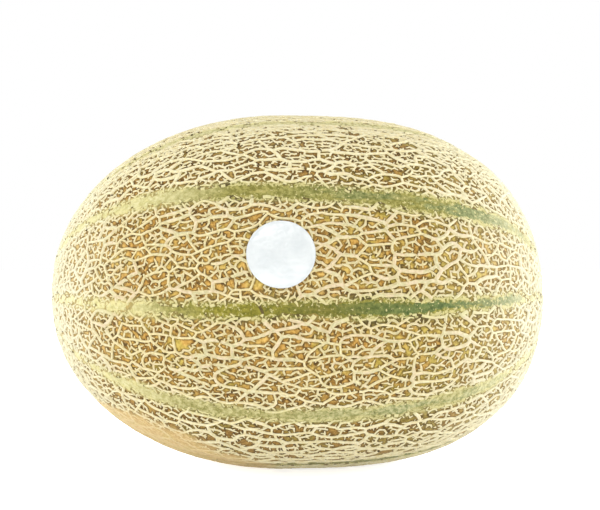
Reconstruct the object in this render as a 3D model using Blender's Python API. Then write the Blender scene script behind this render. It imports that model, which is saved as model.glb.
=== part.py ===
"""A whole netted cantaloupe lying on its side, with a blank round paper label.

Units are metres and +Z is up. The fruit's long axis runs along X, with the stem
end at +X and the blossom end at -X. The origin is the centre of the small flat
spot that the fruit rests on.
"""

import math

import bmesh
import bpy
from mathutils import Vector

# ---------------------------------------------------------------- dimensions
LENGTH = 0.2184            # pole to pole, before the hollows round the scars
RADIUS = 0.0793            # largest radius, on the crest of a rib
WAIST_X = -0.0067          # the fattest section along X
TAPER_BLOSSOM = 2.0        # exponents of the profile: higher is fuller
TAPER_STEM = 3.0
BLUNT_BLOSSOM = 0.47       # and these round the ends: lower is blunter
BLUNT_STEM = 0.46
SAG_BLOSSOM = 0.0009       # how far the axis droops at each end
SAG_STEM = 0.0027
REST_CUT = 0.0009          # height of the cap pressed flat under the fruit

# The ten vein tracts run from end to end between the ribs. Each row has a
# tract's angle around the axis at the waist, at the blossom end and at the stem
# end, in degrees, then how far it sways and where along it the sway starts.
# 0 faces -Y and 90 faces up.
TRACTS = (
    (68.6, 68.0, 92.0, 0.6, 0.0),
    (30.7, 48.0, 33.0, -1.9, -0.5),
    (-3.6, -1.0, 4.0, 0.5, 1.0),
    (-35.9, -36.5, -31.5, 1.3, -1.6),
    (-71.0, -74.0, -66.0, 0.9, 0.4),
    (-107.5, -104.0, -109.0, -1.0, 0.9),
    (-144.5, -149.0, -140.0, 1.2, 2.0),
    (-182.0, -179.0, -188.0, -0.8, 0.2),
    (-218.5, -222.0, -214.0, 1.1, 1.3),
    (-255.2, -257.0, -242.0, 0.7, -0.8),
)
GROOVE_DEPTH = 0.0011      # how far a tract lies below the crests of the ribs
GROOVE_WIDTH = 0.150       # radians, the half width of a tract's hollow

STEM_DISH_DEPTH = 0.0016   # hollow round the stem scar
STEM_DISH_RADIUS = 0.0105
TIP_DISH_DEPTH = 0.0007    # hollow round the blossom scar
TIP_DISH_RADIUS = 0.0060

LABEL_DIAMETER = 0.0260
LABEL_THICKNESS = 0.00022
LABEL_GAP = 0.0003         # clearance between the rind and the label
LABEL_X = -0.0117          # middle of the label along the fruit
LABEL_ANGLE = 12.2         # and around it, in degrees

RINGS = 38                 # cross sections between the two poles
SIDES = 60                 # points round each cross section


# ------------------------------------------------------------------- surface
def station(s):
    """Position t (-1 to 1) along the axis for s from 0 to 1, dense at the poles."""
    return -math.cos(math.pi * s)


def axis_x(t):
    """Distance along X for a position t."""
    half = LENGTH / 2
    return WAIST_X + t * (half + WAIST_X if t < 0 else half - WAIST_X)


def axis_t(x):
    """Position t for a distance along X."""
    half = LENGTH / 2
    return (x - WAIST_X) / (half + WAIST_X if x < WAIST_X else half - WAIST_X)


def tract_angle(k, t):
    """Angle of tract k, in radians, at position t."""
    waist, blossom, stem, sway, start = TRACTS[k]
    end = blossom if t < 0 else stem
    angle = waist + (end - waist) * abs(t) ** 3 + sway * math.sin(3.4 * t + start)
    return math.radians(angle)


def groove(t, angle):
    """1 in the middle of a tract, falling to 0 on the crest of a rib."""
    nearest = min(
        abs((angle - tract_angle(k, t) + math.pi) % (2 * math.pi) - math.pi)
        for k in range(len(TRACTS))
    )
    return math.exp(-((nearest / GROOVE_WIDTH) ** 2))


def radius(t, angle):
    """Radius of the fruit at position t, in the direction of an angle."""
    power, blunt = (
        (TAPER_BLOSSOM, BLUNT_BLOSSOM) if t < 0 else (TAPER_STEM, BLUNT_STEM)
    )
    full = max(0.0, 1.0 - abs(t) ** power) ** blunt
    wobble = 0.0025 * math.cos(2 * angle - 1.4) + 0.0020 * math.cos(
        3 * angle - 1.1 + 1.4 * t
    )
    r = RADIUS * full * (1.0 + wobble)
    return r - GROOVE_DEPTH * groove(t, angle) * min(1.0, 1.6 * full) * full


def surface(t, angle):
    """Point of the rind, with the fruit's axis on the X axis."""
    r = radius(t, angle)
    x = axis_x(t)
    if t > 0:
        x -= STEM_DISH_DEPTH * math.exp(-((r / STEM_DISH_RADIUS) ** 2))
    else:
        x += TIP_DISH_DEPTH * math.exp(-((r / TIP_DISH_RADIUS) ** 2))
    drop = (SAG_BLOSSOM if t < 0 else SAG_STEM) * abs(t) ** 3
    return Vector((x, -r * math.cos(angle), r * math.sin(angle) - drop))


def normal(t, angle):
    """Outward direction of the rind at a point."""
    e = 1e-4
    along = surface(min(1.0, t + e), angle) - surface(t - e, angle)
    around = surface(t, angle + e) - surface(t, angle - e)
    return along.cross(around).normalized()


# ---------------------------------------------------------------------- tools
def material(name, colour, roughness):
    made = bpy.data.materials.new(name)
    made.use_nodes = True
    shader = made.node_tree.nodes["Principled BSDF"]
    shader.inputs["Base Color"].default_value = (*colour, 1.0)
    shader.inputs["Roughness"].default_value = roughness
    shader.inputs["Metallic"].default_value = 0.0
    made.diffuse_color = (*colour, 1.0)
    return made


def finish(name, bm, made, location, sharp=40.0):
    bmesh.ops.recalc_face_normals(bm, faces=bm.faces)
    mesh = bpy.data.meshes.new(name)
    bm.to_mesh(mesh)
    bm.free()
    mesh.materials.append(made)
    mesh.shade_smooth()
    mesh.set_sharp_from_angle(angle=math.radians(sharp))
    obj = bpy.data.objects.new(name, mesh)
    obj.location = location
    bpy.context.scene.collection.objects.link(obj)
    return obj


# -------------------------------------------------------------------- the rind
def melon_mesh():
    """The closed rind before it is set down, as a grid with a point at each pole."""
    bm = bmesh.new()
    blossom = bm.verts.new(surface(-1.0, 0.0))
    stem = bm.verts.new(surface(1.0, 0.0))
    rings = []
    for i in range(1, RINGS + 1):
        t = station(i / (RINGS + 1))
        rings.append(
            [
                bm.verts.new(surface(t, 2 * math.pi * (j + 0.5 * (i % 2)) / SIDES))
                for j in range(SIDES)
            ]
        )
    for j in range(SIDES):
        k = (j + 1) % SIDES
        bm.faces.new((blossom, rings[0][j], rings[0][k]))
        bm.faces.new((stem, rings[-1][k], rings[-1][j]))
    for i in range(RINGS - 1):
        low, high = rings[i], rings[i + 1]
        for j in range(SIDES):
            k = (j + 1) % SIDES
            if i % 2:
                bm.faces.new((low[j], high[j], low[k]))
                bm.faces.new((low[k], high[j], high[k]))
            else:
                bm.faces.new((low[j], high[j], high[k]))
                bm.faces.new((low[j], high[k], low[k]))
    return bm


def press_flat(bm, height):
    """Cut the bottom off at a height, and close it with one flat face."""
    bmesh.ops.bisect_plane(
        bm,
        geom=bm.verts[:] + bm.edges[:] + bm.faces[:],
        dist=1e-6,
        plane_co=(0, 0, height),
        plane_no=(0, 0, -1),
        clear_outer=True,
    )
    rim = [e for e in bm.edges if e.is_boundary]
    bmesh.ops.contextual_create(bm, geom=rim)


# ------------------------------------------------------------------- the label
def label_mesh():
    """A thin round sheet that follows the rind, with its rim square-cut."""
    bm = bmesh.new()
    steps = (0.0, 0.35, 0.68, 1.0)
    sides = 40
    middle_t = axis_t(LABEL_X)
    centre_angle = math.radians(LABEL_ANGLE)

    def place(share, turn, lift):
        reach = share * LABEL_DIAMETER / 2
        t = axis_t(LABEL_X + reach * math.cos(turn))
        angle = centre_angle + reach * math.sin(turn) / radius(middle_t, centre_angle)
        return surface(t, angle) + normal(t, angle) * lift

    layers = []
    for lift in (LABEL_GAP, LABEL_GAP + LABEL_THICKNESS):
        rows = [[bm.verts.new(place(0.0, 0.0, lift))]]
        for share in steps[1:]:
            rows.append(
                [
                    bm.verts.new(place(share, 2 * math.pi * j / sides, lift))
                    for j in range(sides)
                ]
            )
        layers.append(rows)
    for rows in layers:
        for j in range(sides):
            k = (j + 1) % sides
            bm.faces.new((rows[0][0], rows[1][j], rows[1][k]))
            for a, b in zip(rows[1:], rows[2:]):
                bm.faces.new((a[j], b[j], b[k]))
                bm.faces.new((a[j], b[k], a[k]))
    under, over = layers[0][-1], layers[1][-1]
    for j in range(sides):
        k = (j + 1) % sides
        bm.faces.new((under[j], over[j], over[k]))
        bm.faces.new((under[j], over[k], under[k]))
    return bm


# ----------------------------------------------------------------------- build
def main():
    for obj in list(bpy.data.objects):
        bpy.data.objects.remove(obj)

    rind = material("rind", (0.62, 0.50, 0.27), 0.72)
    paper = material("label", (0.82, 0.84, 0.86), 0.45)

    bm = melon_mesh()
    xs = [v.co.x for v in bm.verts]
    ys = [v.co.y for v in bm.verts]
    bottom = min(v.co.z for v in bm.verts) + REST_CUT
    press_flat(bm, bottom)
    seat = Vector((-(min(xs) + max(xs)) / 2, -(min(ys) + max(ys)) / 2, -bottom))
    finish("melon", bm, rind, seat)
    finish("label", label_mesh(), paper, seat)


main()
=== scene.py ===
# A whole netted cantaloupe with a blank round paper label. A net of corky ridges is
# grown over the fruit's surface as a graph and cut off at the smooth vein tracts. The
# rind is then three pieces: one closed skin, and two sets of rounded bars let into it,
# for the main ridges and for the finer threads between them. Lengths are in
# millimetres until a mesh is made.

import math

import bpy
import numpy as np
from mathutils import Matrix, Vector
from mathutils.geometry import delaunay_2d_cdt


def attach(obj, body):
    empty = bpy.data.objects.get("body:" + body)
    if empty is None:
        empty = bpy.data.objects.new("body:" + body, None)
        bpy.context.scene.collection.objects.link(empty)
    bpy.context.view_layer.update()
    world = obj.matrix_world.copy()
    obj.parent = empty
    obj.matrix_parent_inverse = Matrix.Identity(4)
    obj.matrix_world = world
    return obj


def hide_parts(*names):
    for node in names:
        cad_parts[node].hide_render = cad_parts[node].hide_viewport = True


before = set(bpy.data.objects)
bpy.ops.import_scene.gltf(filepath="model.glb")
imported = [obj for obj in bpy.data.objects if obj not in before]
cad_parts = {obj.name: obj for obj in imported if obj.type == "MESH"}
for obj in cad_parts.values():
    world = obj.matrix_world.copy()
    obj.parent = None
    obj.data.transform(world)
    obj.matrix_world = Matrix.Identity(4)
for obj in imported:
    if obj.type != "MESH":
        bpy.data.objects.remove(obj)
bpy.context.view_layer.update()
rng = np.random.default_rng(20)
TAU = 2 * math.pi

# ------------------------------------------------------------ the CAD's surface
LENGTH, RADIUS, WAIST_X = 218.4, 79.3, -6.7
TAPER_BLOSSOM, TAPER_STEM = 2.0, 3.0
BLUNT_BLOSSOM, BLUNT_STEM = 0.47, 0.46
SAG_BLOSSOM, SAG_STEM = 0.9, 2.7
REST_CUT = 0.9
TRACTS = np.array((
    (68.6, 68.0, 92.0, 0.6, 0.0),
    (30.7, 48.0, 33.0, -1.9, -0.5),
    (-3.6, -1.0, 4.0, 0.5, 1.0),
    (-35.9, -36.5, -31.5, 1.3, -1.6),
    (-71.0, -74.0, -66.0, 0.9, 0.4),
    (-107.5, -104.0, -109.0, -1.0, 0.9),
    (-144.5, -149.0, -140.0, 1.2, 2.0),
    (-182.0, -179.0, -188.0, -0.8, 0.2),
    (-218.5, -222.0, -214.0, 1.1, 1.3),
    (-255.2, -257.0, -242.0, 0.7, -0.8),
))
GROOVE_DEPTH, GROOVE_WIDTH = 1.1, 0.150
STEM_DISH_DEPTH, STEM_DISH_RADIUS = 1.6, 10.5
TIP_DISH_DEPTH, TIP_DISH_RADIUS = 0.7, 6.0
LABEL_DIAMETER, LABEL_X, LABEL_ANGLE = 26.0, -11.7, math.radians(12.2)


def axis_x(t):
    half = LENGTH / 2
    return WAIST_X + t * np.where(t < 0, half + WAIST_X, half - WAIST_X)


def axis_t(x):
    half = LENGTH / 2
    return (x - WAIST_X) / np.where(x < WAIST_X, half + WAIST_X, half - WAIST_X)


def fullness(t):
    power = np.where(t < 0, TAPER_BLOSSOM, TAPER_STEM)
    blunt = np.where(t < 0, BLUNT_BLOSSOM, BLUNT_STEM)
    return np.maximum(0.0, 1 - np.abs(t) ** power) ** blunt


def tract_gap(t, a):
    """Signed angle from the nearest tract's middle, and which tract that is."""
    t, a = np.broadcast_arrays(t, a)
    u = t[..., None]
    waist, sway, start = np.radians(TRACTS[:, 0]), np.radians(TRACTS[:, 3]), TRACTS[:, 4]
    end = np.radians(np.where(u < 0, TRACTS[:, 1], TRACTS[:, 2]))
    angle = waist + (end - waist) * np.abs(u) ** 3 + sway * np.sin(3.4 * u + start)
    gap = (a[..., None] - angle + math.pi) % TAU - math.pi
    k = np.abs(gap).argmin(-1)
    return np.take_along_axis(gap, k[..., None], -1)[..., 0], k


def girth(t, a):
    full = fullness(t)
    wobble = 0.0025 * np.cos(2 * a - 1.4) + 0.0020 * np.cos(3 * a - 1.1 + 1.4 * t)
    hollow = np.exp(-((tract_gap(t, a)[0] / GROOVE_WIDTH) ** 2))
    return RADIUS * full * (1 + wobble) - GROOVE_DEPTH * hollow * np.minimum(
        1.0, 1.6 * full
    ) * full


def surface(t, a):
    r = girth(t, a)
    x = axis_x(t) + np.where(
        t > 0,
        -STEM_DISH_DEPTH * np.exp(-((r / STEM_DISH_RADIUS) ** 2)),
        TIP_DISH_DEPTH * np.exp(-((r / TIP_DISH_RADIUS) ** 2)),
    )
    drop = np.where(t < 0, SAG_BLOSSOM, SAG_STEM) * np.abs(t) ** 3
    return np.stack([x, -r * np.cos(a), r * np.sin(a) - drop], -1)


def normals(s, a):
    """Outward directions, for stations s (0 to 1, pole to pole) and angles."""
    e = 2e-4
    lo, hi = np.maximum(s - e, 1e-6), np.minimum(s + e, 1 - 1e-6)
    along = surface(-np.cos(math.pi * hi), a) - surface(-np.cos(math.pi * lo), a)
    t = -np.cos(math.pi * np.clip(s, 1e-4, 1 - 1e-4))
    around = surface(t, a + 1e-3) - surface(t, a - 1e-3)
    n = np.cross(along, around)
    return n / np.linalg.norm(n, axis=-1, keepdims=True)


def seat():
    """How far the CAD is moved so that it rests on z = 0, from the same grid of points."""
    points = [surface(np.array([-1.0, 1.0]), np.array([0.0, 0.0]))]
    for i in range(1, 39):
        t = -math.cos(math.pi * i / 39)
        a = TAU * (np.arange(60) + 0.5 * (i % 2)) / 60
        points.append(surface(np.full(60, t), a))
    p = np.concatenate(points)
    bottom = p[:, 2].min() + REST_CUT
    return np.array([
        -(p[:, 0].min() + p[:, 0].max()) / 2, -(p[:, 1].min() + p[:, 1].max()) / 2, -bottom,
    ])


SEAT = seat()

# The rind is laid out flat, without stretching its angles, as w = exp(v + i a).
# The blossom end is w = 0 and the stem end is far out. A second plane, q, is drawn
# out along the fruit, so that cells evenly spread there come out longer than wide.
S = np.arange(1, 6001) / 6001
PROFILE_T = -np.cos(math.pi * S)
PROFILE_R = RADIUS * fullness(PROFILE_T)
PROFILE_X = surface(PROFILE_T, np.full(len(S), 0.9))[:, 0]
step = np.hypot(np.diff(PROFILE_X), np.diff(PROFILE_R))
V = np.concatenate([[0], np.cumsum(step / ((PROFILE_R[1:] + PROFILE_R[:-1]) / 2))])
V -= np.interp(0.0, PROFILE_T, V)


def ease(x, low, high):
    u = np.clip((x - low) / (high - low), 0, 1)
    return u * u * (3 - 2 * u)


DRAWN = 0.76 + 0.28 * ease(np.abs(PROFILE_T), 0.30, 0.90)
K = np.concatenate([[0], np.cumsum(np.diff(V) * (DRAWN[1:] + DRAWN[:-1]) / 2)])
K -= np.interp(0.0, PROFILE_T, K)
AREA = np.concatenate([[0], np.cumsum(step * (PROFILE_R[1:] + PROFILE_R[:-1]) / 2)]) * TAU

CAP_RADIUS = 9.8
STEM_HALF = S > 0.5
V_CAP = np.interp(-CAP_RADIUS, -PROFILE_R[STEM_HALF], V[STEM_HALF])


def station(w):
    """Where points of the w plane lie along the fruit, 0 to 1."""
    size = np.abs(w)
    first = math.exp(V[0])
    return np.where(
        size < first, S[0] * size / first, np.interp(np.log(np.maximum(size, 1e-9)), V, S)
    )


def spread(w):
    """Positions, outward directions, t and angle for points of the w plane."""
    s, a = station(w), np.angle(w)
    t = -np.cos(math.pi * s)
    return surface(t, a), normals(s, a), t, a


def scale_at(w):
    """Millimetres on the fruit for a unit of the w plane."""
    size = np.maximum(np.abs(w), math.exp(V[0]))
    return np.interp(np.log(size), V, PROFILE_R) / size


# ------------------------------------------------------------------------ noise
def lattice(i, j, k, seed):
    h = (i * 374761393 + j * 668265263 + k * 1440662683 + seed * 974634777) & 0xFFFFFFFF
    h = ((h ^ (h >> 13)) * 1274126177) & 0xFFFFFFFF
    return ((h ^ (h >> 16)) & 0xFFFF) / 65535.0


def noise(p, size, seed):
    """Smooth noise from 0 to 1, with lumps of about the given size."""
    q = p / size + 1000.0
    i = np.floor(q).astype(np.int64)
    f = q - i
    f = f * f * (3 - 2 * f)
    total = 0.0
    for dx in (0, 1):
        for dy in (0, 1):
            for dz in (0, 1):
                weight = (
                    (f[:, 0] if dx else 1 - f[:, 0])
                    * (f[:, 1] if dy else 1 - f[:, 1])
                    * (f[:, 2] if dz else 1 - f[:, 2])
                )
                total = total + weight * lattice(
                    i[:, 0] + dx, i[:, 1] + dy, i[:, 2] + dz, seed
                )
    return total


# ------------------------------------------------------------------- neighbours
def near(p, q, reach):
    """Index pairs of points p[i] and q[j] that are closer than reach, and how far."""
    low = np.minimum(p.min(0), q.min(0)) - 2 * reach
    cp = ((p - low) / reach).astype(np.int64)
    cq = ((q - low) / reach).astype(np.int64)
    ny = max(cp[:, 1].max(), cq[:, 1].max()) + 3
    nz = max(cp[:, 2].max(), cq[:, 2].max()) + 3
    kq = (cq[:, 0] * ny + cq[:, 1]) * nz + cq[:, 2]
    order = np.argsort(kq, kind="stable")
    kq = kq[order]
    found = []
    for dx in (-1, 0, 1):
        for dy in (-1, 0, 1):
            k = ((cp[:, 0] + dx) * ny + cp[:, 1] + dy) * nz + cp[:, 2]
            a = np.searchsorted(kq, k - 1, "left")
            n = np.searchsorted(kq, k + 1, "right") - a
            i = np.repeat(np.arange(len(p)), n)
            j = order[np.arange(n.sum()) + np.repeat(a - (np.cumsum(n) - n), n)]
            d = np.linalg.norm(p[i] - q[j], axis=1)
            keep = d < reach
            found.append((i[keep], j[keep], d[keep]))
    return [np.concatenate(c) for c in zip(*found)]


def thin(p, rank, gap, stretch=None):
    """Which points to keep, lowest rank first, so that none crowds a kept one."""
    i, j, d = near(p, p, gap.max() * (1.25 if stretch is not None else 1.0))
    if stretch is not None:
        d = stretch(i, j)
    keep = (rank[j] < rank[i]) & (d < (gap[i] + gap[j]) / 2)
    i, j = i[keep], j[keep]
    state = np.zeros(len(p), np.int8)
    while True:
        open_ = state == 0
        if not open_.any():
            return state == 1
        lost = np.zeros(len(p), bool)
        lost[i[state[j] == 1]] = True
        state[open_ & lost] = -1
        wait = np.zeros(len(p), bool)
        live = (state[i] == 0) & (state[j] >= 0)
        i, j = i[live], j[live]
        wait[i[state[j] == 0]] = True
        wait |= state != 0
        lost[:] = False
        lost[i[state[j] == 1]] = True
        state[~wait & ~lost] = 1


def scatter(n):
    """Points spread at random over the rind, outside the stem cap."""
    top = np.interp(V_CAP, V, AREA)
    s = np.interp(rng.random(n) * top, AREA, S)
    return np.exp(np.interp(s, S, V) + 1j * (rng.random(n) * TAU - math.pi))


# ----------------------------------------------------------- regions of the rind
def tract_distance(t, a, p):
    """Distance to the edge of the nearest vein tract: negative inside it."""
    gap, k = tract_gap(t, a)
    full = fullness(t)
    wide = np.array([3.0, 3.9, 3.4, 3.4, 3.2, 3.0, 3.4, 3.2, 3.4, 3.1])[k]
    wide = wide * (1 + 0.18 * ease(t, -0.1, 0.4))
    half = wide * (0.30 + 0.70 * full ** 1.2) + 1.5 * (noise(p, 19.0, 5) - 0.5)
    half = half + 1.2 * (noise(p, 4.5, 6) - 0.5) + 1.1 * (noise(p, 2.0, 9) - 0.5)
    return np.abs(gap) * girth(t, a) - np.maximum(half, 0.6)


def ground_spot(t, a, p):
    """1 where the fruit lay on the ground as it grew, 0 elsewhere."""
    x = axis_x(t)
    turn = (a - math.radians(-97) + math.pi) % TAU - math.pi
    reach = np.hypot((x + 64) / np.where(x < -64, 37, 60), turn / math.radians(46))
    reach = reach + 0.16 * (noise(p, 14.0, 7) - 0.5) + 0.10 * (noise(p, 4.0, 8) - 0.5)
    return ease(reach, 1.07, 0.93)


def polar(p):
    """Distance from the fruit's long axis, which droops a little at the ends."""
    t = axis_t(np.clip(p[:, 0], -LENGTH / 2, LENGTH / 2))
    drop = np.where(t < 0, SAG_BLOSSOM, SAG_STEM) * np.abs(t) ** 3
    return np.hypot(p[:, 1], p[:, 2] + drop)


# --------------------------------------------------------------------- the net
def cell_gap(t, a, p):
    """Wanted distance between the middles of cells."""
    gap = 2.32 - 0.34 * ease(np.abs(t), 0.45, 0.90)
    gap = gap * (0.80 + 0.40 * noise(p, 11.0, 1))
    gap = gap * (1 + 0.10 * ease(p[:, 1], 0.0, 40.0))  # a little coarser behind
    beside = tract_distance(t, a, p)
    gap = gap * (1 - 0.20 * ease(beside, 3.0, 0.8) * (beside > -1.0))
    gap = gap * (1 + 0.30 * ease(-p[:, 2], 38.0, 62.0))  # coarser underneath
    gap = gap * (1 - 0.10 * ease(p[:, 2], 30.0, 58.0) * ease(p[:, 1], 10.0, -10.0))
    tips = np.where(t < 0, polar(p), 99.0)
    return np.clip(gap * (0.7 + 0.3 * ease(tips, 4.0, 16.0)), 1.6, 6.0)


def plane_q(w):
    return np.exp(np.interp(np.log(np.maximum(np.abs(w), 1e-9)), V, K) + 1j * np.angle(w))


def seeds(w, gap):
    p, _, t, a = spread(w)
    q = plane_q(w)
    local = np.interp(np.log(np.abs(w)), V, PROFILE_R) / np.abs(q)

    def stretch(i, j):
        return np.abs(q[i] - q[j]) * (local[i] + local[j]) / 2

    keep = thin(p, rng.permutation(len(w)), gap(t, a, p), stretch)
    return w[keep]


candidates = scatter(260000)
p, _, t, a = spread(candidates)
gap = cell_gap(t, a, p)
candidates = candidates[rng.random(len(gap)) < (gap.min() / gap) ** 2]
fine = seeds(candidates, cell_gap)
# Beyond the cap's edge a few rings of seeds close the cells off.
beyond = []
for share in (0.86, 0.66, 0.48):
    v = np.interp(-CAP_RADIUS * share, -PROFILE_R[STEM_HALF], V[STEM_HALF])
    n = max(12, int(TAU * CAP_RADIUS * share / 2.0))
    beyond.append(np.exp(v + 1j * (TAU * (np.arange(n) + rng.random(n) * 0.5) / n)))
fine = np.concatenate([fine] + beyond)
fine_p, _, fine_t, fine_a = spread(fine)

# Coarser groups of cells: the ridges between two groups are the thick wavy ones.
coarse_w = scatter(14000)
coarse_p = spread(coarse_w)[0]
DRAW = np.array([0.36, 1.0, 1.0])
coarse_w = coarse_w[thin(coarse_p * DRAW, rng.permutation(len(coarse_w)), np.full(len(coarse_w), 4.4))]
coarse_p = spread(coarse_w)[0]
warp = np.stack([noise(fine_p, 7.0, 20 + k) - 0.5 for k in range(3)], 1) * 5.0
i, j, d = near((fine_p + warp) * DRAW, coarse_p * DRAW, 14.0)
order = np.lexsort((d, i))
i, j = i[order], j[order]
first = np.unique(i, return_index=True)[1]
group = np.full(len(fine), -1)
group[i[first]] = j[first]

q = plane_q(fine)
out = delaunay_2d_cdt([Vector((z.real, z.imag)) for z in q], [], [], 0, 1e-10)
q = np.array([complex(v.x, v.y) for v in out[0]])
group = group[[o[0] for o in out[3]]]
tri = np.array([f for f in out[2] if len(f) == 3])
za, zb, zc = q[tri[:, 0]], q[tri[:, 1]], q[tri[:, 2]]
ab, ac = zb - za, zc - za
cross = (ab.conjugate() * ac).imag
centre = za + 1j * (ac * np.abs(ab) ** 2 - ab * np.abs(ac) ** 2) / (-2 * cross)
middle = (za + zb + zc) / 3
shift = (centre - middle) * 0.62
limit = 0.42 * np.abs(ab)
shift = shift * np.minimum(1, limit / np.maximum(np.abs(shift), 1e-12))
node_q = middle + shift
node = np.exp(np.interp(np.log(np.abs(node_q)), K, V) + 1j * np.angle(node_q))

# The edges of the net join the middles of neighbouring triangles.
e = np.concatenate([tri[:, [0, 1]], tri[:, [1, 2]], tri[:, [2, 0]]])
f = np.tile(np.arange(len(tri)), 3)
key = e.min(1) * len(q) + e.max(1)
order = np.argsort(key, kind="stable")
key, f, e = key[order], f[order], e[order]
twin = np.flatnonzero(key[1:] == key[:-1])
ends = np.stack([f[twin], f[twin + 1]], 1)
between = e[twin]
thick = group[between[:, 0]] != group[between[:, 1]]

# Nodes that nearly touch become one.
node_p = spread(node)[0]
length = np.linalg.norm(node_p[ends[:, 0]] - node_p[ends[:, 1]], axis=1)
short = ends[length < 0.62]
root = np.arange(len(node))
for _ in range(12):
    low = np.minimum(root[short[:, 0]], root[short[:, 1]])
    np.minimum.at(root, short[:, 0], low)
    np.minimum.at(root, short[:, 1], low)
    root = root[root]
count = np.bincount(root, minlength=len(node))
node = (
    np.bincount(root, node.real, len(node)) + 1j * np.bincount(root, node.imag, len(node))
) / np.maximum(count, 1)
ends = root[ends]
keep = ends[:, 0] != ends[:, 1]
ends, thick = ends[keep], thick[keep]
key = ends.min(1) * len(node) + ends.max(1)
key, pick = np.unique(key, return_index=True)
ends, thick = ends[pick], thick[pick]
inside = (np.abs(node) < math.exp(V_CAP - 0.02))[ends].all(1)
ends, thick = ends[inside], thick[inside]

# The thick ridges are drawn smooth.
for _ in range(4):
    pull = np.zeros(len(node), complex)
    links = np.zeros(len(node))
    for x, y in ((0, 1), (1, 0)):
        np.add.at(pull, ends[thick, x], node[ends[thick, y]])
        np.add.at(links, ends[thick, x], 1)
    move = links == 2
    node[move] = 0.55 * node[move] + 0.45 * pull[move] / 2

node_p, _, node_t, node_a = spread(node)
length = np.linalg.norm(node_p[ends[:, 0]] - node_p[ends[:, 1]], axis=1)
n = len(ends)
mid_p = (node_p[ends[:, 0]] + node_p[ends[:, 1]]) / 2
mid_t = (node_t[ends[:, 0]] + node_t[ends[:, 1]]) / 2
mid_a = np.angle(node[ends[:, 0]] / np.abs(node[ends[:, 0]]) + node[ends[:, 1]] / np.abs(node[ends[:, 1]]))
mid_spot = ground_spot(mid_t, mid_a, mid_p)
beside = tract_distance(mid_t, mid_a, mid_p)
chance = rng.random(n)
# ridges that run round the fruit break more often than those that run along it
across = np.abs(node_p[ends[:, 0], 0] - node_p[ends[:, 1], 0]) / np.maximum(length, 1e-9)
across = 1 - across
lost = np.where(thick, 0.0, 0.13 + 0.12 * (noise(mid_p, 14.0, 31) - 0.5))
lost = np.where(beside < 3.0, lost * 0.4, lost)
stub = np.where(thick, 0.03, 0.26 + 0.14 * across + 0.20 * (noise(mid_p, 9.0, 32) - 0.5))
lost = lost + 0.35 * mid_spot * ~thick
loose = (chance >= lost) & (chance < lost + stub)  # joined at one end only
keep = chance >= lost
ends, thick, length, loose, mid_p = ends[keep], thick[keep], length[keep], loose[keep], mid_p[keep]
mid_t = mid_t[keep]
n = len(ends)
flip = rng.random(n) < 0.5
ends[flip] = ends[flip][:, ::-1]

# Each edge becomes a bent line of short segments with a width and a height.
reach = np.where(loose, 0.40 + 0.32 * rng.random(n), 1.0)
half_width = np.where(
    thick,
    0.40 + 0.34 * ease(noise(mid_p, 10.0, 33), 0.35, 0.78) * (0.6 + 0.5 * rng.random(n)),
    0.35 + 0.10 * rng.random(n) + 0.10 * noise(mid_p, 12.0, 34),
)
half_width = half_width * (1 - 0.14 * ease(np.abs(mid_t), 0.6, 0.95))
crest = np.where(thick, 0.66, 0.52) * (0.9 + 0.2 * rng.random(n))
crest = np.where(loose, crest * 0.92, crest)
bow = rng.normal(0, 0.07, n) * length
bow = np.where(thick, bow * 0.7, bow)
curl = np.where(loose, rng.normal(0, 0.22, n) * length, 0.0)
parts = np.maximum(1, np.round(length * reach / 1.3)).astype(int)
line = np.repeat(np.arange(n), parts + 1)
along = np.arange(len(line)) - np.repeat(np.cumsum(parts + 1) - (parts + 1), parts + 1)
u = along / parts[line]
A, B = node[ends[:, 0]][line], node[ends[:, 1]][line]
side = 1j * (B - A) / np.maximum(np.abs(B - A), 1e-12)
local = scale_at((A + B) / 2)
inner = (along > 0) & ((along < parts[line]) | loose[line])
offset = bow[line] * np.sin(math.pi * u * reach[line]) + curl[line] * u ** 2
offset = offset + np.where(inner & (along < parts[line]), rng.normal(0, 0.10, len(line)), 0)
point = A + (B - A) * u * reach[line] + side * offset / local
point_a = half_width[line] * (1 + 0.16 * (2 * np.abs(u - 0.5)) ** 2)
point_a = np.where(loose[line], half_width[line] * (1.08 - 0.42 * u), point_a)
point_h = np.where(loose[line], crest[line] * (1 - 0.30 * u), crest[line])
seg = np.flatnonzero(line[1:] == line[:-1])
seg = np.stack([seg, seg + 1], 1)
tip = np.zeros(len(point), bool)
tip[(along == parts[line]) & loose[line]] = True
lean = rng.random(n)[line]
# points shared by edges that meet at a node
key = np.where(along == 0, ends[line, 0], np.where((along == parts[line]) & ~loose[line], ends[line, 1], -1))

# Short spurs stand out into the wider cells, well clear of the next ridge.
host = np.flatnonzero((along > 0) & (along < parts[line]) | (along == 0) & (rng.random(len(line)) < 0.3))
host = np.repeat(host, 3)
forward = (B - A)[host] / np.maximum(np.abs(B - A)[host], 1e-12)
sign = np.where(rng.random(len(host)) < 0.5, 1, -1)
way = forward * np.exp(1j * sign * (math.pi / 2 + rng.normal(0, 0.55, len(host))))
out_to = (point_a[host] + 0.60 + 1.00 * rng.random(len(host))) / scale_at(point[host])
spur_tip = point[host] + way * out_to
spur_p = spread(spur_tip)[0]
mids = spread((point[seg[:, 0]] + point[seg[:, 1]]) / 2)[0]
i, j, d = near(spur_p, mids, 2.0)
P = spread(point)[0]
x0, x1 = P[seg[j, 0]], P[seg[j, 1]]
ux = np.clip(((spur_p[i] - x0) * (x1 - x0)).sum(1) / ((x1 - x0) ** 2).sum(1), 0, 1)
d = np.linalg.norm(spur_p[i] - x0 - (x1 - x0) * ux[:, None], axis=1) - point_a[seg[j, 0]]
clear = np.full(len(spur_tip), 9.0)
np.minimum.at(clear, i, d)
good = clear > 0.66
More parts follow.
